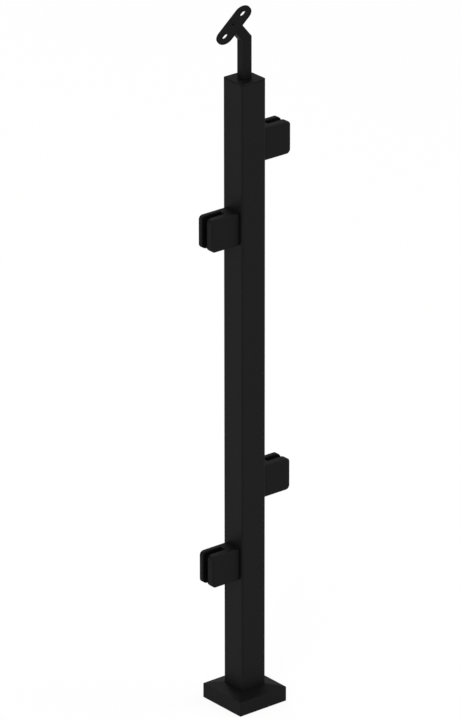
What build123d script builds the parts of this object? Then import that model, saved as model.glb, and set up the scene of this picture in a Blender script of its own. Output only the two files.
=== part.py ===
from build123d import *
import os
from math import cos, radians, sin, tan

# The post stands on the floor at the origin. X runs along the glass, up the stair towards +X, and -Y is the front.

# Square tube of the post
post_side = 40.0
post_wall = 2.0
post_corner = 3.0
post_height = 896.6

# Base plate, and the cover that hides it
cover_side = 80.0
cover_height = 20.7
cover_wall = 1.5
cover_corner = 1.0
cover_rim = 0.6
cover_gap = 0.4
flange_clearance = 1.0
flange_thick = 8.0
flange_corner = 4.0
anchor_bore = 9.0
anchor_edge = 10.0

# Cap driven into the tube
cap_head = 3.0
cap_plug_depth = 12.0
cap_plug_wall = 3.0
cap_plug_gap = 0.1
cap_edge = 0.5
cap_boss = 20.0
cap_boss_depth = 4.0

# Handrail stem, mitred so that its arm leans back against the climb
stair_angle = 40.0
stem_side = 14.0
stem_corner = 1.1
stem_rise = 55.6
arm_reach = 26.2
mitre_round = 1.8
mitre_hollow = 0.5

# Saddle plate under the handrail
saddle_length = 63.4
saddle_width = 24.9
saddle_thick = 3.0
saddle_rim = 0.4
saddle_slot_length = 9.0
saddle_slot_width = 6.8
saddle_slot_pitch = 38.7

# Glass clamps
clamp_length = 46.5
clamp_height = 45.8
clamp_front_cheek = 9.4
clamp_slot = 12.0
clamp_back_cheek = 7.3
clamp_web = 16.0
clamp_corner = 6.0
clamp_edge = 1.2
clamp_low = 210.8
clamp_top_drop = 94.8
clamp_stagger = 108.6

# Rubber gaskets of the clamps
gasket_thick = 1.9
gasket_inset = 0.3
gasket_web_gap = 0.4

# Fasteners: nominal diameters, heads, lengths and hexagon sockets
thread_gap = 0.1
stem_bolt_size = 8.0
stem_bolt_grip = 11.0
stem_bolt_head = 13.0
stem_bolt_head_height = 5.3
saddle_screw_size = 5.0
saddle_screw_head = 9.2
saddle_screw_length = 14.0
saddle_screw_socket = 3.0
clamp_bolt_size = 6.0
clamp_bolt_head = 10.0
clamp_bolt_head_height = 6.0
clamp_bolt_length = 25.0
clamp_bolt_socket = 5.0
cover_screw_size = 5.0
cover_screw_head = 8.5
cover_screw_head_height = 3.5
cover_screw_length = 14.0
cover_screw_socket = 3.0
cover_screw_pitch = 28.0
socket_share = 0.5
bore_spare = 1.5

# Rivet nuts in the tube's wall: the body and its bulge are measured across their flats
nut_body = 9.0
nut_flange = 12.0
nut_flange_thick = 1.0
nut_bulge = 10.6
nut_bulge_length = 3.0
nut_length = 15.0
nut_recess_gap = 0.2

# Places that follow from the sizes above
flange_side = cover_side - 2 * (cover_wall + flange_clearance)
tube_bore = post_side - 2 * post_wall
bore_corner = max(post_corner - post_wall, post_corner / 4)
post_face = post_side / 2
clamp_thick = clamp_front_cheek + clamp_slot + clamp_back_cheek
front_face = -clamp_thick / 2
slot_front = front_face + clamp_front_cheek
slot_back = slot_front + clamp_slot
slot_depth = clamp_length - clamp_web
bolt_line = (slot_front + slot_back) / 2
clamp_spacing = post_height - clamp_top_drop - clamp_stagger - clamp_low
mitre_height = post_height + stem_rise
arm_end = Vector(-arm_reach * sin(radians(stair_angle)), 0, mitre_height + arm_reach * cos(radians(stair_angle)))
arm_axis = Vector(-sin(radians(stair_angle)), 0, cos(radians(stair_angle)))
slope = Vector(cos(radians(stair_angle)), 0, sin(radians(stair_angle)))
saddle_seat = Plane(origin=arm_end, x_dir=slope, z_dir=arm_axis)

# Each clamp: its name, the side of the post that it is on, and its middle's height
clamps = [
    ("lower_left", -1, clamp_low),
    ("upper_left", -1, clamp_low + clamp_spacing),
    ("lower_right", 1, clamp_low + clamp_stagger),
    ("upper_right", 1, clamp_low + clamp_stagger + clamp_spacing),
]


def keep(shape, name):
    """Labels a finished piece and writes its file."""
    shape.label = name
    export_step(shape, f"parts/{name}.step")


def bolt_plane(side, height):
    """Plane on the post's side face, square to a clamp's bolt and looking away from the post."""
    return Plane(origin=(side * post_face, bolt_line, height), x_dir=(0, 1, 0), z_dir=(side, 0, 0))


def socket_screw(seat, profile, socket, depth):
    """Screw turned about the seat's normal, from points given as radius and height, with a hexagon socket."""
    with BuildPart() as screw:
        with BuildSketch(Plane(origin=seat.origin, x_dir=seat.x_dir, z_dir=-seat.y_dir)):
            with BuildLine():
                Polyline(*profile, close=True)
            make_face()
        revolve(axis=Axis(seat.origin, seat.z_dir))
        with BuildSketch(seat):
            RegularPolygon(socket / 2, 6, major_radius=False)
        extrude(amount=-depth, mode=Mode.SUBTRACT)
    return screw.part


def cap_screw(seat, size, head, head_height, length, socket):
    """Screw with a cylindrical head whose top is on the seat."""
    end = -head_height - length
    shank = [(head / 2, -head_height), (size / 2, -head_height), (size / 2, end), (0, end)]
    return socket_screw(seat, [(0, 0), (head / 2, 0)] + shank, socket, head_height * socket_share)


def cheek_outline(y, side, height):
    """Square outline of a clamp at depth y: flat against the post, its two outer corners rounded."""
    with BuildSketch(Plane.XZ.offset(-y)) as outline:
        with Locations((side * (post_face + clamp_length / 2), height)):
            Rectangle(clamp_length, clamp_height)
        outer = outline.vertices().sort_by(Axis.X)[-2:] if side > 0 else outline.vertices().sort_by(Axis.X)[:2]
        fillet(outer, clamp_corner)
    return outline.sketch


def screw_places(y, side, height):
    """Planes on which a clamp's two cover screws are centred, at depth y and looking back."""
    x = side * (post_face + clamp_web / 2)
    return [
        Plane(origin=(x, y, height + step * cover_screw_pitch / 2), x_dir=(1, 0, 0), z_dir=(0, 1, 0))
        for step in (-1, 1)
    ]


def post_tube():
    """Square tube from the base plate to the cap, with a hexagon hole in one wall for each rivet nut."""
    with BuildPart() as tube:
        with BuildSketch(Plane.XY.offset(flange_thick)):
            RectangleRounded(post_side, post_side, post_corner)
            RectangleRounded(tube_bore, tube_bore, bore_corner, mode=Mode.SUBTRACT)
        extrude(amount=post_height - cap_head - flange_thick)
        for name, side, height in clamps:
            with BuildSketch(bolt_plane(side, height)):
                RegularPolygon(nut_body / 2 + thread_gap, 6, major_radius=False)
            extrude(amount=-post_wall, mode=Mode.SUBTRACT)
    return tube.part


def base_flange():
    """Square plate on the floor, with an anchor hole near each corner."""
    anchor_spacing = flange_side - 2 * anchor_edge
    with BuildPart() as flange:
        with BuildSketch():
            RectangleRounded(flange_side, flange_side, flange_corner)
            with GridLocations(anchor_spacing, anchor_spacing, 2, 2):
                Circle(anchor_bore / 2, mode=Mode.SUBTRACT)
        extrude(amount=flange_thick)
    return flange.part


def base_cover():
    """Folded sheet cover, open below, with a square hole that slides down the tube."""
    with BuildPart() as cover:
        with BuildSketch():
            RectangleRounded(cover_side, cover_side, cover_corner)
        extrude(amount=cover_height)
        chamfer(cover.faces().sort_by(Axis.Z)[-1].edges(), cover_rim)
        with BuildSketch():
            Rectangle(cover_side - 2 * cover_wall, cover_side - 2 * cover_wall)
        extrude(amount=cover_height - cover_wall, mode=Mode.SUBTRACT)
        with BuildSketch():
            hole = post_side + 2 * cover_gap
            RectangleRounded(hole, hole, post_corner + cover_gap)
        extrude(amount=cover_height, mode=Mode.SUBTRACT)
    return cover.part


def top_cap():
    """Flush head on a hollow square plug, with a boss that takes the stem's bolt."""
    plug = tube_bore - 2 * cap_plug_gap
    plug_top = post_height - cap_head
    with BuildPart() as cap:
        with BuildSketch(Plane.XY.offset(plug_top)):
            RectangleRounded(post_side, post_side, post_corner)
        extrude(amount=cap_head)
        chamfer(cap.faces().sort_by(Axis.Z)[-1].edges(), cap_edge)
        with BuildSketch(Plane.XY.offset(plug_top)):
            RectangleRounded(plug, plug, bore_corner)
            Rectangle(plug - 2 * cap_plug_wall, plug - 2 * cap_plug_wall, mode=Mode.SUBTRACT)
        extrude(amount=-cap_plug_depth)
        with BuildSketch(Plane.XY.offset(plug_top)):
            Rectangle(cap_boss, cap_boss)
        extrude(amount=-cap_boss_depth)
        with BuildSketch(Plane.XY.offset(post_height)):
            Circle(stem_bolt_size / 2 + thread_gap)
        extrude(amount=-(cap_head + cap_boss_depth), mode=Mode.SUBTRACT)
    return cap.part


def handrail_stem():
    """Square bar that rises from the cap and turns at a mitre, bored at its foot and at the arm's end."""
    half = stem_side / 2
    outer_mitre = (half, mitre_height + half * tan(radians(stair_angle / 2)))
    inner_mitre = (-half, mitre_height - half * tan(radians(stair_angle / 2)))
    outer_end, inner_end = arm_end + slope * half, arm_end - slope * half
    with BuildPart() as stem:
        with BuildSketch(Plane.XZ) as side_view:
            with BuildLine():
                Polyline(
                    (-half, post_height),
                    (half, post_height),
                    outer_mitre,
                    (outer_end.X, outer_end.Z),
                    (inner_end.X, inner_end.Z),
                    inner_mitre,
                    close=True,
                )
            make_face()
            fillet(side_view.vertices().sort_by_distance(outer_mitre)[0], mitre_round)
            fillet(side_view.vertices().sort_by_distance(inner_mitre)[0], mitre_hollow)
        extrude(amount=half, both=True)
        side_edges = stem.faces().filter_by(Axis.Y).edges()
        long_edges = side_edges.filter_by(Axis.X, reverse=True).filter_by(Axis(arm_end, slope), reverse=True)
        fillet(long_edges, stem_corner)
        with BuildSketch(Plane.XY.offset(post_height)):
            Circle(stem_bolt_size / 2 + thread_gap)
        extrude(amount=stem_bolt_grip + bore_spare, mode=Mode.SUBTRACT)
        with BuildSketch(saddle_seat):
            Circle(saddle_screw_size / 2 + thread_gap)
        extrude(amount=-(saddle_screw_length - saddle_thick + bore_spare), mode=Mode.SUBTRACT)
    return stem.part


def stem_bolt():
    """Hexagon bolt under the cap's boss, reaching up into the stem."""
    seat = Plane.XY.offset(post_height - cap_head - cap_boss_depth)
    with BuildPart() as bolt:
        with BuildSketch(seat):
            RegularPolygon(stem_bolt_head / 2, 6, major_radius=False)
        extrude(amount=-stem_bolt_head_height)
        with BuildSketch(seat):
            Circle(stem_bolt_size / 2)
        extrude(amount=cap_boss_depth + cap_head + stem_bolt_grip)
    return bolt.part


def saddle_plate():
    """Round-ended plate on the arm, with a slot near each end and a sunk hole in the middle."""
    top = saddle_seat.offset(saddle_thick)
    with BuildPart() as plate:
        with BuildSketch(saddle_seat):
            SlotOverall(saddle_length, saddle_width)
        extrude(amount=saddle_thick)
        chamfer(plate.faces().group_by(Axis(arm_end, arm_axis))[-1].edges(), saddle_rim)
        with BuildSketch(saddle_seat):
            with GridLocations(saddle_slot_pitch, 0, 2, 1):
                SlotOverall(saddle_slot_length, saddle_slot_width)
        extrude(amount=saddle_thick, mode=Mode.SUBTRACT)
        with Locations(top):
            CounterSinkHole(saddle_screw_size / 2 + thread_gap, saddle_screw_head / 2, counter_sink_angle=90)
    return plate.part


def saddle_screw():
    """Screw with a 90 degree sunk head, flush with the saddle's top, that holds the saddle on the arm."""
    head, shank = saddle_screw_head / 2, saddle_screw_size / 2
    cone = head - shank
    profile = [(0, 0), (head, 0), (shank, -cone), (shank, -saddle_screw_length), (0, -saddle_screw_length)]
    return socket_screw(saddle_seat.offset(saddle_thick), profile, saddle_screw_socket, cone)


def clamp_body(side, height):
    """Front cheek with the web that stands against the post, and the bores for its screws."""
    with BuildPart() as body:
        extrude(cheek_outline(slot_back, side, height), amount=slot_back - front_face)
        chamfer(body.faces().sort_by(Axis.Y)[0].edges(), clamp_edge)
        with BuildSketch(Plane.XZ.offset(-slot_back)):
            with Locations((side * (post_face + clamp_web + slot_depth / 2), height)):
                Rectangle(slot_depth, clamp_height)
        extrude(amount=clamp_slot, mode=Mode.SUBTRACT)
        with BuildSketch(bolt_plane(side, height)):
            Circle(nut_flange / 2 + nut_recess_gap)
        extrude(amount=nut_flange_thick, mode=Mode.SUBTRACT)
        with BuildSketch(bolt_plane(side, height)):
            Circle(clamp_bolt_size / 2 + 2 * thread_gap)
        extrude(amount=clamp_web, mode=Mode.SUBTRACT)
        with BuildSketch(bolt_plane(side, height).offset(clamp_web)):
            Circle(clamp_bolt_head / 2 + 2 * thread_gap)
        extrude(amount=-clamp_bolt_head_height, mode=Mode.SUBTRACT)
        bore = cover_screw_head_height + cover_screw_length - clamp_back_cheek + bore_spare
        for place in screw_places(slot_back, side, height):
            with BuildSketch(place):
                Circle(cover_screw_size / 2 + thread_gap)
            extrude(amount=-bore, mode=Mode.SUBTRACT)
    return body.part


def clamp_cover(side, height):
    """Back cheek, held to the web by two sunk screws."""
    back_face = slot_back + clamp_back_cheek
    with BuildPart() as cover:
        extrude(cheek_outline(back_face, side, height), amount=clamp_back_cheek)
        chamfer(cover.faces().sort_by(Axis.Y)[-1].edges(), clamp_edge)
        for place in screw_places(back_face, side, height):
            with Locations(place):
                CounterBoreHole(
                    cover_screw_size / 2 + thread_gap,
                    cover_screw_head / 2 + thread_gap,
                    cover_screw_head_height,
                )
    return cover.part


def gasket(y, side, height):
    """Rubber sheet on a cheek's inner face, from depth y towards the front, inset from the cheek's outline."""
    width = slot_depth - gasket_web_gap - gasket_inset
    middle = post_face + clamp_web + gasket_web_gap + width / 2
    with BuildPart() as sheet:
        with BuildSketch(Plane.XZ.offset(-y)) as outline:
            with Locations((side * middle, height)):
                Rectangle(width, clamp_height - 2 * gasket_inset)
            outer = outline.vertices().sort_by(Axis.X)[-2:] if side > 0 else outline.vertices().sort_by(Axis.X)[:2]
            fillet(outer, clamp_corner - gasket_inset)
        extrude(amount=gasket_thick)
    return sheet.part


def rivet_nut(side, height):
    """Blind nut: a flange outside the tube's wall, and the hexagon body with its crimped bulge inside."""
    wall = bolt_plane(side, height)
    with BuildPart() as nut:
        with BuildSketch(wall):
            Circle(nut_flange / 2)
        extrude(amount=nut_flange_thick)
        with BuildSketch(wall):
            RegularPolygon(nut_body / 2, 6, major_radius=False)
        extrude(amount=-(post_wall + nut_length))
        with BuildSketch(wall.offset(-post_wall)):
            RegularPolygon(nut_bulge / 2, 6, major_radius=False)
        extrude(amount=-nut_bulge_length)
        with BuildSketch(wall.offset(nut_flange_thick)):
            Circle(clamp_bolt_size / 2 + thread_gap)
        extrude(amount=-(nut_flange_thick + post_wall + nut_length), mode=Mode.SUBTRACT)
    return nut.part


def clamp_bolt(side, height):
    """Cap screw in the web, its head's top level with the slot's floor."""
    seat = bolt_plane(side, height).offset(clamp_web)
    sizes = (clamp_bolt_size, clamp_bolt_head, clamp_bolt_head_height, clamp_bolt_length, clamp_bolt_socket)
    return cap_screw(seat, *sizes)


def cover_screws(side, height):
    """Pair of low-headed cap screws that close a clamp from behind."""
    places = screw_places(slot_back + clamp_back_cheek, side, height)
    sizes = (cover_screw_size, cover_screw_head, cover_screw_head_height, cover_screw_length, cover_screw_socket)
    return Compound([cap_screw(place, *sizes) for place in places])


os.makedirs("parts", exist_ok=True)
keep(post_tube(), "post_tube")
keep(base_flange(), "base_flange")
keep(base_cover(), "base_cover")
keep(top_cap(), "top_cap")
keep(stem_bolt(), "stem_bolt")
keep(handrail_stem(), "handrail_stem")
keep(saddle_plate(), "saddle_plate")
keep(saddle_screw(), "saddle_screw")
for name, side, height in clamps:
    keep(clamp_body(side, height), f"clamp_body_{name}")
    keep(clamp_cover(side, height), f"clamp_cover_{name}")
    keep(gasket(slot_front + gasket_thick, side, height), f"gasket_front_{name}")
    keep(gasket(slot_back, side, height), f"gasket_back_{name}")
    keep(rivet_nut(side, height), f"rivet_nut_{name}")
    keep(clamp_bolt(side, height), f"clamp_bolt_{name}")
    keep(cover_screws(side, height), f"cover_screws_{name}")
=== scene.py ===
import bmesh
import bpy
from math import cos, pi, radians, sin, sqrt
from mathutils import Matrix, Vector


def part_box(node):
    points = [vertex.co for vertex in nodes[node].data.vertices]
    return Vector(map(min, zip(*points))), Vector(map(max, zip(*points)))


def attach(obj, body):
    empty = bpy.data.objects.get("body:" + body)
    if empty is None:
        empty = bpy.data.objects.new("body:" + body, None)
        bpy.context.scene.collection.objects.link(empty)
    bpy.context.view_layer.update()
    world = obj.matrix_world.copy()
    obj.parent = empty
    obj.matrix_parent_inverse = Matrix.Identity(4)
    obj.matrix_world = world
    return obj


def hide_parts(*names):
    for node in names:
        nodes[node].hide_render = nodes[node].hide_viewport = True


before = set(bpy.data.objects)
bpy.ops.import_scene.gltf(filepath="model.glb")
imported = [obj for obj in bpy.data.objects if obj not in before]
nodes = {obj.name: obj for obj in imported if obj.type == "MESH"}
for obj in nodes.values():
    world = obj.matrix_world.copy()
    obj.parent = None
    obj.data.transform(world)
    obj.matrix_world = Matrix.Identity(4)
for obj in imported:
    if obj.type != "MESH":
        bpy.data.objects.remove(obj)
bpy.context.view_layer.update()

scene = bpy.context.scene

# The camera stands where the photograph was taken from: in front of the post, a little to its left and well
# above, with a long lens. Its angles and distance come from fitting the post's known edges to their places in
# the picture.
photo_width, photo_height = 460, 721
camera_yaw, camera_pitch, camera_roll = radians(39.036), radians(23.088), radians(-0.072)
camera_distance = 9.292
focal_px = 7010.0
sensor_mm = 36.0
target = Vector((0, 0, 0.45))
target_px_x, target_px_y = 244.55, 392.68

camera_data = bpy.data.cameras.new("camera")
camera_data.sensor_width = sensor_mm
camera_data.lens = focal_px * sensor_mm / photo_height
camera = bpy.data.objects.new("camera", camera_data)
scene.collection.objects.link(camera)
scene.camera = camera
turn = (
    Matrix.Rotation(-camera_yaw, 3, "Z")
    @ Matrix.Rotation(pi / 2 - camera_pitch, 3, "X")
    @ Matrix.Rotation(camera_roll, 3, "Z")
)
metres_per_px = camera_distance / focal_px
beside = Vector((
    (photo_width / 2 - target_px_x) * metres_per_px,
    (target_px_y - photo_height / 2) * metres_per_px,
    camera_distance,
))
camera.matrix_world = Matrix.Translation(target + turn @ beside) @ turn.to_4x4()

# The studio is a white paper floor in a room with white walls and a dimmer ceiling. The lens and reflections
# see them so, and for lighting the room is an even fill, so that the paper keeps a faint shadow of the post.
scene.view_settings.view_transform = "Standard"
white = "#ffffff"
fill_level = 0.72
ceiling_level = 0.6
wall_top, ceiling_start = sin(radians(7)), sin(radians(16))


def linear(colour):
    """Linear value of an sRGB hex colour, with full alpha."""
    channels = [int(colour[i:i + 2], 16) / 255 for i in (1, 3, 5)]
    return (*[c / 12.92 if c <= 0.04045 else ((c + 0.055) / 1.055) ** 2.4 for c in channels], 1.0)


def add_node(tree, kind, settings=None, links=None):
    """New shader node, with its properties or unlinked sockets set, and its other sockets linked."""
    node = tree.nodes.new(kind)
    for key, value in (settings or {}).items():
        if isinstance(key, str) and hasattr(node, key):
            setattr(node, key, value)
        else:
            node.inputs[key].default_value = value
    for socket, output in (links or {}).items():
        tree.links.new(output, node.inputs[socket])
    return node


def seen_directly(tree):
    """1 for rays from the lens, from reflections and through glass, 0 for the rays that light things."""
    path = add_node(tree, "ShaderNodeLightPath")
    either = add_node(tree, "ShaderNodeMath", {"operation": "MAXIMUM"},
                      {0: path.outputs["Is Camera Ray"], 1: path.outputs["Is Glossy Ray"]})
    any_of = add_node(tree, "ShaderNodeMath", {"operation": "MAXIMUM"},
                      {0: either.outputs[0], 1: path.outputs["Is Transmission Ray"]})
    return any_of.outputs[0]


world = bpy.data.worlds.new("white_room")
world.use_nodes = True
world.node_tree.nodes.clear()
scene.world = world
around = add_node(world.node_tree, "ShaderNodeTexCoord")
upward = add_node(world.node_tree, "ShaderNodeSeparateXYZ", None, {0: around.outputs["Generated"]})
walls = add_node(world.node_tree, "ShaderNodeMapRange",
                 {"interpolation_type": "SMOOTHSTEP", "From Min": wall_top, "From Max": ceiling_start,
                  "To Min": 1.0, "To Max": ceiling_level}, {"Value": upward.outputs["Z"]})
level = add_node(world.node_tree, "ShaderNodeMix", {"data_type": "FLOAT", "A": fill_level},
                 {"Factor": seen_directly(world.node_tree), "B": walls.outputs[0]})
room = add_node(world.node_tree, "ShaderNodeBackground", {"Color": linear(white)},
                {"Strength": level.outputs[0]})
add_node(world.node_tree, "ShaderNodeOutputWorld", None, {"Surface": room.outputs[0]})

# The floor is matt white studio paper, unrolled so far that its edges are out of sight. It is lit well enough
# to look almost as white as the room.
floor_half = 20.0
paper_white = "#f8f8f7"
paper_glow = 0.9


def new_tree(name):
    """Empty material and its node tree."""
    material = bpy.data.materials.new(name)
    material.use_nodes = True
    material.node_tree.nodes.clear()
    return material, material.node_tree


def new_piece(name, bm, material):
    """Object at the origin that holds a finished bmesh, with its material."""
    mesh = bpy.data.meshes.new(name)
    bm.to_mesh(mesh)
    bm.free()
    mesh.materials.append(material)
    piece = bpy.data.objects.new(name, mesh)
    scene.collection.objects.link(piece)
    return piece


paper, tree = new_tree("white_studio_paper")
matte = add_node(tree, "ShaderNodeBsdfDiffuse", {"Color": linear(paper_white)})
glow = add_node(tree, "ShaderNodeEmission", {"Color": linear(white), "Strength": 1.0})
share = add_node(tree, "ShaderNodeMath", {"operation": "MULTIPLY", 1: paper_glow}, {0: seen_directly(tree)})
blend = add_node(tree, "ShaderNodeMixShader", None,
                 {0: share.outputs[0], 1: matte.outputs[0], 2: glow.outputs[0]})
add_node(tree, "ShaderNodeOutputMaterial", None, {"Surface": blend.outputs[0]})

bm = bmesh.new()
bmesh.ops.create_grid(bm, x_segments=1, y_segments=1, size=floor_half)
new_piece("paper_floor", bm, paper)

# Three large softboxes light it: a key over the left shoulder, a weaker one to the right, and one behind.
# They are far enough off to light the post evenly from foot to saddle.
softbox_side = 1.6
softboxes = {
    "key_softbox": ((-3.0, -2.0, 2.6), 58.0),
    "side_softbox": ((2.0, -1.4, 3.0), 32.0),
    "back_softbox": ((0.8, 3.2, 2.6), 20.0),
}
for name, (place, watts) in softboxes.items():
    lamp = bpy.data.lights.new(name, "AREA")
    lamp.size = softbox_side
    lamp.energy = watts
    softbox = bpy.data.objects.new(name, lamp)
    softbox.location = place
    softbox.rotation_euler = (Vector(place) - target).to_track_quat("Z", "Y").to_euler()
    scene.collection.objects.link(softbox)

# The post is a cold-drawn square steel tube, welded to its base plate, blasted and powder coated with it.
# The polyester powder bakes to a thin black skin: nearly black pigment under a weak, blurred gloss, with
# softened edges, a faint orange peel, and a grit that is drawn coarser than in life.
MM = 0.001
coat_black, coat_black_light = "#0e0e0f", "#111112"
tone_mm = 70.0
pigment_shine = 0.02
pigment_smooth, pigment_rough = 0.5, 0.65
skin_ior = 1.5
edge_samples = 8
peel_strength, peel_depth_mm = 0.25, 0.02
grit_mm = 0.5
grit_strength, grit_depth_mm = 0.3, 0.01
noise_low, noise_high = 0.3, 0.7


def pattern(tree, size_mm, detail=2.0):
    """Noise on the piece's own coordinates whose features are about size_mm across."""
    place = add_node(tree, "ShaderNodeTexCoord")
    noise = add_node(tree, "ShaderNodeTexNoise", {"Scale": 1 / (size_mm * MM), "Detail": detail},
                     {"Vector": place.outputs["Object"]})
    return noise.outputs["Fac"]


def uneven(tree, dark, light, patches, smooth, rough, grain):
    """Links for a colour that drifts between two tones and for a roughness, each with its own noise."""
    colour = add_node(tree, "ShaderNodeMix", {"data_type": "RGBA", 6: linear(dark), 7: linear(light)},
                      {0: patches})
    blur = add_node(tree, "ShaderNodeMapRange",
                    {"From Min": noise_low, "From Max": noise_high, "To Min": smooth, "To Max": rough},
                    {"Value": grain})
    return {"Base Color": colour.outputs[2], "Roughness": blur.outputs[0]}


def powder_coat(name, gloss, blur, peel_mm, edge_mm):
    """Black powder coat: its skin's share and blur, its orange peel's width, how far it softens edges."""
    material, tree = new_tree(name)
    edges = add_node(tree, "ShaderNodeBevel", {"samples": edge_samples, "Radius": edge_mm * MM})
    peel = add_node(tree, "ShaderNodeBump", {"Strength": peel_strength, "Distance": peel_depth_mm * MM},
                    {"Height": pattern(tree, peel_mm, detail=1.0), "Normal": edges.outputs[0]})
    grit = add_node(tree, "ShaderNodeBump", {"Strength": grit_strength, "Distance": grit_depth_mm * MM},
                    {"Height": pattern(tree, grit_mm), "Normal": peel.outputs[0]})
    surface = add_node(
        tree, "ShaderNodeBsdfPrincipled",
        {"Specular IOR Level": pigment_shine,
         "Coat Weight": gloss, "Coat Roughness": blur, "Coat IOR": skin_ior},
        uneven(tree, coat_black, coat_black_light, pattern(tree, tone_mm),
               pigment_smooth, pigment_rough, pattern(tree, grit_mm))
        | {"Normal": grit.outputs[0], "Coat Normal": peel.outputs[0]},
    )
    add_node(tree, "ShaderNodeOutputMaterial", None, {"Surface": surface.outputs[0]})
    return material


def dress(node, material):
    """Gives a CAD node its finish."""
    nodes[node].data.materials.clear()
    nodes[node].data.materials.append(material)


tube_coat = powder_coat("black_powder_coat_on_steel_tube", gloss=0.158, blur=0.48, peel_mm=2.4, edge_mm=0.4)
dress("post_tube", tube_coat)
dress("base_flange", tube_coat)

# The cover is a square hood of 1.5 mm steel sheet, pressed in one piece, coated like the tube and slid down
# over it. Its four slopes run up to the hole for the tube and meet in faint hips. It lies loose on the floor
# and hides the base plate and its bolts.
sheet_thick = 1.5
hood_corner, hood_rim = 1.0, 0.6
half_rim = hood_rim * (1 - cos(pi / 4))
hood_rise = 3.8
hole_gap = 0.4
tube_corner = 3.0
corner_steps = 6
hood_half, hood_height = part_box("base_cover")[1][0] / MM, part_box("base_cover")[1][2] / MM
hole_half, hole_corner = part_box("post_tube")[1][0] / MM + hole_gap, tube_corner + hole_gap
cover_coat = powder_coat("black_powder_coat_on_steel_sheet", gloss=0.104, blur=0.4, peel_mm=2.0, edge_mm=0.5)


def edges_at(verts):
    """Edges that meet some vertices, each once, in a fixed order."""
    return list(dict.fromkeys(edge for vert in verts for edge in vert.link_edges))


def square_ring(bm, half, corner, height):
    """Edges of a square with rounded corners about the post's axis, all sizes in mm."""
    place = Matrix.Translation((0, 0, height * MM)) @ Matrix.Rotation(pi / 4, 4, "Z")
    square = bmesh.ops.create_circle(bm, segments=4, radius=half * sqrt(2) * MM, matrix=place)
    rounded = bmesh.ops.bevel(bm, geom=square["verts"], offset=corner * MM, segments=corner_steps,
                              profile=0.5, affect="VERTICES", material=-1)
    return edges_at(rounded["verts"])


bm = bmesh.new()
rings = [
    square_ring(bm, hood_half, hood_corner, 0),
    square_ring(bm, hood_half, hood_corner, hood_height - hood_rim),
    square_ring(bm, hood_half - half_rim, hood_corner, hood_height - half_rim),
    square_ring(bm, hood_half - hood_rim, hood_corner, hood_height),
    square_ring(bm, hole_half, hole_corner, hood_height + hood_rise),
    square_ring(bm, hole_half, hole_corner, hood_height + hood_rise - sheet_thick),
    square_ring(bm, hood_half - sheet_thick, hood_corner, hood_height - sheet_thick),
    square_ring(bm, hood_half - sheet_thick, hood_corner, 0),
]
for below, above in zip(rings, rings[1:] + rings[:1]):
    bmesh.ops.bridge_loops(bm, edges=below + above)
bmesh.ops.recalc_face_normals(bm, faces=bm.faces)
hood = new_piece("sheet_steel_cover", bm, cover_coat)
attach(hood, "root")
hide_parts("base_cover")

# The cap is die-cast and driven into the tube. The stem is square bar, cut and welded to a mitre, and bolted
# through the cap from inside. Both were coated before they were put together.
bar_coat = powder_coat("black_powder_coat_on_steel_bar", gloss=0.11, blur=0.5, peel_mm=1.8, edge_mm=1.2)
cap_coat = powder_coat("black_powder_coat_on_die_cast_cap", gloss=0.073, blur=0.2, peel_mm=1.6, edge_mm=0.6)
dress("top_cap", cap_coat)
dress("handrail_stem", bar_coat)

# The saddle is sheared from 3 mm steel strip, rounded at its ends, punched with two slots for the handrail's
# screws, and coated. A sunk screw holds it on the arm's end.
saddle_coat = powder_coat("black_powder_coat_on_steel_strip", gloss=0.097, blur=0.5, peel_mm=1.8, edge_mm=0.4)
dress("saddle_plate", saddle_coat)

# The glass clamps are zinc die castings in two halves, a body whose web meets the tube and a cover behind it.
# They are tumbled, so that their edges are well rounded, and coated.
clamp_coat = powder_coat("black_powder_coat_on_die_cast_zinc", gloss=0.13, blur=0.5, peel_mm=1.5, edge_mm=1.0)
corners = ("lower_left", "upper_left", "lower_right", "upper_right")
for corner in corners:
    dress(f"clamp_body_{corner}", clamp_coat)
    dress(f"clamp_cover_{corner}", clamp_coat)

# Each clamp grips the glass between two sheets of black EPDM rubber, cut from the roll with a knife and glued
# to the cheeks. The sheet is dull, with a fine calendered grain and a trace of talc.
rubber_black, rubber_talc = "#050506", "#080809"
talc_mm = 4.0
rubber_shine = 0.05
rubber_smooth, rubber_rough = 0.75, 0.95
grain_mm = 0.35
grain_strength, grain_depth_mm = 0.5, 0.03
rubber, tree = new_tree("black_epdm_rubber_sheet")
grain = add_node(tree, "ShaderNodeBump", {"Strength": grain_strength, "Distance": grain_depth_mm * MM},
                 {"Height": pattern(tree, grain_mm)})
surface = add_node(
    tree, "ShaderNodeBsdfPrincipled", {"Specular IOR Level": rubber_shine},
    uneven(tree, rubber_black, rubber_talc, pattern(tree, talc_mm, detail=3.0),
           rubber_smooth, rubber_rough, pattern(tree, grain_mm))
    | {"Normal": grain.outputs[0]},
)
add_node(tree, "ShaderNodeOutputMaterial", None, {"Surface": surface.outputs[0]})
for corner in corners:
    dress(f"gasket_front_{corner}", rubber)
    dress(f"gasket_back_{corner}", rubber)

# The saddle's screw is a steel M5 with a 90 degree sunk head, coated like the saddle and set flush with it.
# Its hexagon socket is the dark dot in the middle of the saddle. Its thread is hidden in the arm, so each
# turn of thread is drawn as a plain ring.
stair_angle = radians(40)
arm_axis = Vector((-sin(stair_angle), 0, cos(stair_angle)))
strip_thick = 3.0
sunk_head, sunk_land = 9.2, 0.3
sunk_size, sunk_length = 5.0, 14.0
sunk_socket, sunk_socket_depth = 3.0, 2.4
coarse_pitch = 0.8
thread_share = 0.61
socket_cone = 0.45
turn_steps = 48
merge_mm = 0.001


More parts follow.
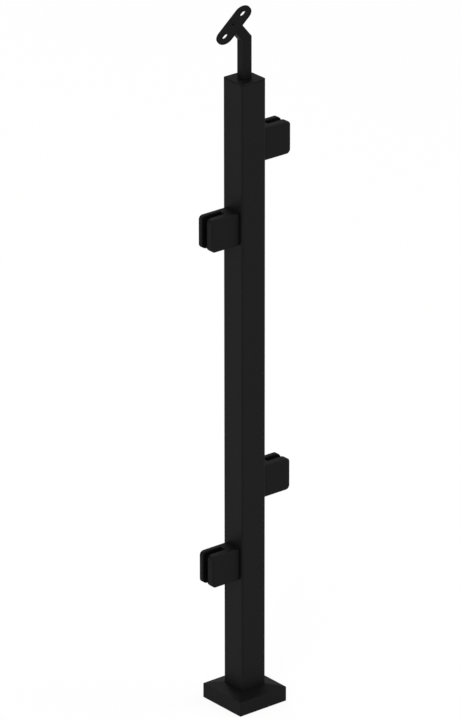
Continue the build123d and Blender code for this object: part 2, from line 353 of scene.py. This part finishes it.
def threaded_shank(radius, pitch, top, end):
    """Outline of a rolled thread, from the top of the shank to its chamfered tip on the axis."""
    depth = thread_share * pitch
    rings = int((top - end - depth) / pitch)
    outline = [(radius, top)]
    for i in range(rings):
        crest = top - (i + 0.5) * pitch
        outline += [(radius, crest + pitch / 8), (radius, crest - pitch / 8)]
        outline.append((radius - depth, crest - pitch / 2))
    return outline + [(radius - depth, end), (0, end)]


def sort_faces(bm):
    """Puts the faces in the order of their vertices, because spin makes them in another order on each run."""
    bm.verts.index_update()
    base = len(bm.verts)
    corners_of = {face: sorted(vert.index for vert in face.verts) for face in bm.faces}
    bm.faces.sort(key=lambda face: sum(base ** (2 - i) * corners_of[face][i] for i in range(3)))


def socket_screw(name, seat, outline, flats, socket_depth, material):
    """Screw spun from an outline of radius and height in mm, with a hexagon socket, placed by a matrix."""
    bm = bmesh.new()
    line = [bm.verts.new((r * MM, 0, z * MM)) for r, z in outline]
    sides = [bm.edges.new(pair) for pair in zip(line, line[1:])]
    bmesh.ops.spin(bm, geom=line + sides, cent=(0, 0, 0), axis=(0, 0, 1), angle=2 * pi, steps=turn_steps,
                   use_merge=True)
    bmesh.ops.remove_doubles(bm, verts=bm.verts, dist=merge_mm * MM)
    rim = [edge for edge in bm.edges if edge.is_boundary]
    hexagon = bmesh.ops.create_circle(bm, segments=6, radius=flats / 2 / cos(pi / 6) * MM)
    mouth = edges_at(hexagon["verts"])
    bmesh.ops.triangle_fill(bm, use_beauty=True, edges=rim + mouth)
    for drop, inward in ((socket_depth, 1.0), (socket_cone * flats / 2, 0.0)):
        deeper = bmesh.ops.extrude_edge_only(bm, edges=mouth)["geom"]
        verts = [item for item in deeper if isinstance(item, bmesh.types.BMVert)]
        mouth = [item for item in deeper if isinstance(item, bmesh.types.BMEdge)]
        bmesh.ops.translate(bm, verts=verts, vec=(0, 0, -drop * MM))
        bmesh.ops.scale(bm, verts=verts, vec=(inward, inward, 1))
    bmesh.ops.remove_doubles(bm, verts=bm.verts, dist=merge_mm * MM)
    bmesh.ops.recalc_face_normals(bm, faces=bm.faces)
    bmesh.ops.transform(bm, matrix=seat, verts=bm.verts)
    sort_faces(bm)
    piece = new_piece(name, bm, material)
    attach(piece, "root")
    return piece


def facing(place, direction):
    """Matrix that sets a screw's head at a place, looking along a direction."""
    return Matrix.Translation(place) @ direction.to_track_quat("Z", "Y").to_matrix().to_4x4()


low, high = (Vector(corner_point) for corner_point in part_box("saddle_plate"))
saddle_top = (low + high) / 2 + arm_axis * strip_thick / 2 * MM
cone_end = -(sunk_head - sunk_size) / 2
outline = [
    (sunk_head / 2 - 2 * sunk_land, 0),
    (sunk_head / 2 - sunk_land, 0),
    (sunk_head / 2 - sunk_land, -sunk_land),
]
outline += threaded_shank(sunk_size / 2, coarse_pitch, cone_end, -sunk_length)
sunk_screw = socket_screw("saddle_socket_screw", facing(saddle_top, arm_axis), outline, sunk_socket,
                          sunk_socket_depth, saddle_coat)
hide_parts("saddle_screw")

# An M6 cap screw, sunk in the floor of its slot, bolts each clamp to a rivet nut in the post. It is alloy
# steel, cold headed and thread rolled, hardened, blackened in a hot oxide bath and oiled. Its black is
# faintly brown, with a satin gloss that the oil makes uneven.
oxide_black, oxide_brown = "#111112", "#1a1817"
oil_mm = 2.5
oiled_shine = 0.25
oiled_smooth, oiled_rough = 0.28, 0.5
head_grain_mm = 0.3
head_grain_strength, head_grain_depth_mm = 0.3, 0.01
oxide, tree = new_tree("black_oxide_on_alloy_steel")
grain = add_node(tree, "ShaderNodeBump",
                 {"Strength": head_grain_strength, "Distance": head_grain_depth_mm * MM},
                 {"Height": pattern(tree, head_grain_mm)})
surface = add_node(
    tree, "ShaderNodeBsdfPrincipled", {"Specular IOR Level": oiled_shine},
    uneven(tree, oxide_black, oxide_brown, pattern(tree, oil_mm, detail=3.0),
           oiled_smooth, oiled_rough, pattern(tree, oil_mm, detail=3.0))
    | {"Normal": grain.outputs[0]},
)
add_node(tree, "ShaderNodeOutputMaterial", None, {"Surface": surface.outputs[0]})

bolt_head, bolt_head_height = 10.0, 6.0
bolt_size, bolt_pitch, bolt_length = 6.0, 1.0, 25.0
bolt_socket, bolt_socket_depth = 5.0, 3.0
rim_chamfer = 0.5


def cap_outline(head, head_height, size, pitch, length):
    """Outline of a cap screw: a chamfered cylindrical head, and a threaded shank under it."""
    outline = [
        (head / 2 - 2 * rim_chamfer, 0),
        (head / 2 - rim_chamfer, 0),
        (head / 2, -rim_chamfer),
        (head / 2, -head_height + rim_chamfer / 2),
        (head / 2 - rim_chamfer / 2, -head_height),
    ]
    return outline + threaded_shank(size / 2, pitch, -head_height, -head_height - length)


for corner in corners:
    side = -1 if corner.endswith("left") else 1
    low, high = (Vector(corner_point) for corner_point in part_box(f"clamp_bolt_{corner}"))
    top = Vector((low.x if side < 0 else high.x, (low.y + high.y) / 2, (low.z + high.z) / 2))
    outline = cap_outline(bolt_head, bolt_head_height, bolt_size, bolt_pitch, bolt_length)
    bolt = socket_screw(f"clamp_cap_screw_{corner}", facing(top, Vector((side, 0, 0))), outline, bolt_socket,
                        bolt_socket_depth, oxide)
    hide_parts(f"clamp_bolt_{corner}")

# Two low-headed M5 cap screws, blackened like the others, draw the two halves of each clamp together from
# behind, one above the other.
closer_head, closer_head_height = 8.5, 3.5
closer_size, closer_length = 5.0, 14.0
closer_socket, closer_socket_depth = 3.0, 2.0
for corner in corners:
    low, high = (Vector(corner_point) for corner_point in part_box(f"cover_screws_{corner}"))
    closers = []
    for name, height in (("lower", low.z + closer_head / 2 * MM), ("upper", high.z - closer_head / 2 * MM)):
        outline = cap_outline(closer_head, closer_head_height, closer_size, coarse_pitch, closer_length)
        seat = facing(Vector(((low.x + high.x) / 2, high.y, height)), Vector((0, 1, 0)))
        closers.append(socket_screw(f"{name}_closing_screw_{corner}", seat, outline, closer_socket,
                                    closer_socket_depth, oxide))
    for closer in closers:
        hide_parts(f"cover_screws_{corner}")

# The rivet nuts are steel, crimped into the tube's wall, and the stem's bolt is a hexagon bolt. They are
# hidden, and have bright zinc plating with a faint blue passivation.
zinc_white, zinc_blue = "#c8c9cb", "#b9c0ca"
passivation_mm = 5.0
plating_smooth, plating_rough = 0.25, 0.4
plating_grain_mm = 0.25
plating_grain_strength, plating_grain_depth_mm = 0.3, 0.01
zinc, tree = new_tree("bright_zinc_plating_on_steel")
grain = add_node(tree, "ShaderNodeBump",
                 {"Strength": plating_grain_strength, "Distance": plating_grain_depth_mm * MM},
                 {"Height": pattern(tree, plating_grain_mm)})
surface = add_node(
    tree, "ShaderNodeBsdfPrincipled", {"Metallic": 1.0},
    uneven(tree, zinc_white, zinc_blue, pattern(tree, passivation_mm),
           plating_smooth, plating_rough, pattern(tree, plating_grain_mm))
    | {"Normal": grain.outputs[0]},
)
add_node(tree, "ShaderNodeOutputMaterial", None, {"Surface": surface.outputs[0]})
dress("stem_bolt", zinc)
for corner in corners:
    dress(f"rivet_nut_{corner}", zinc)
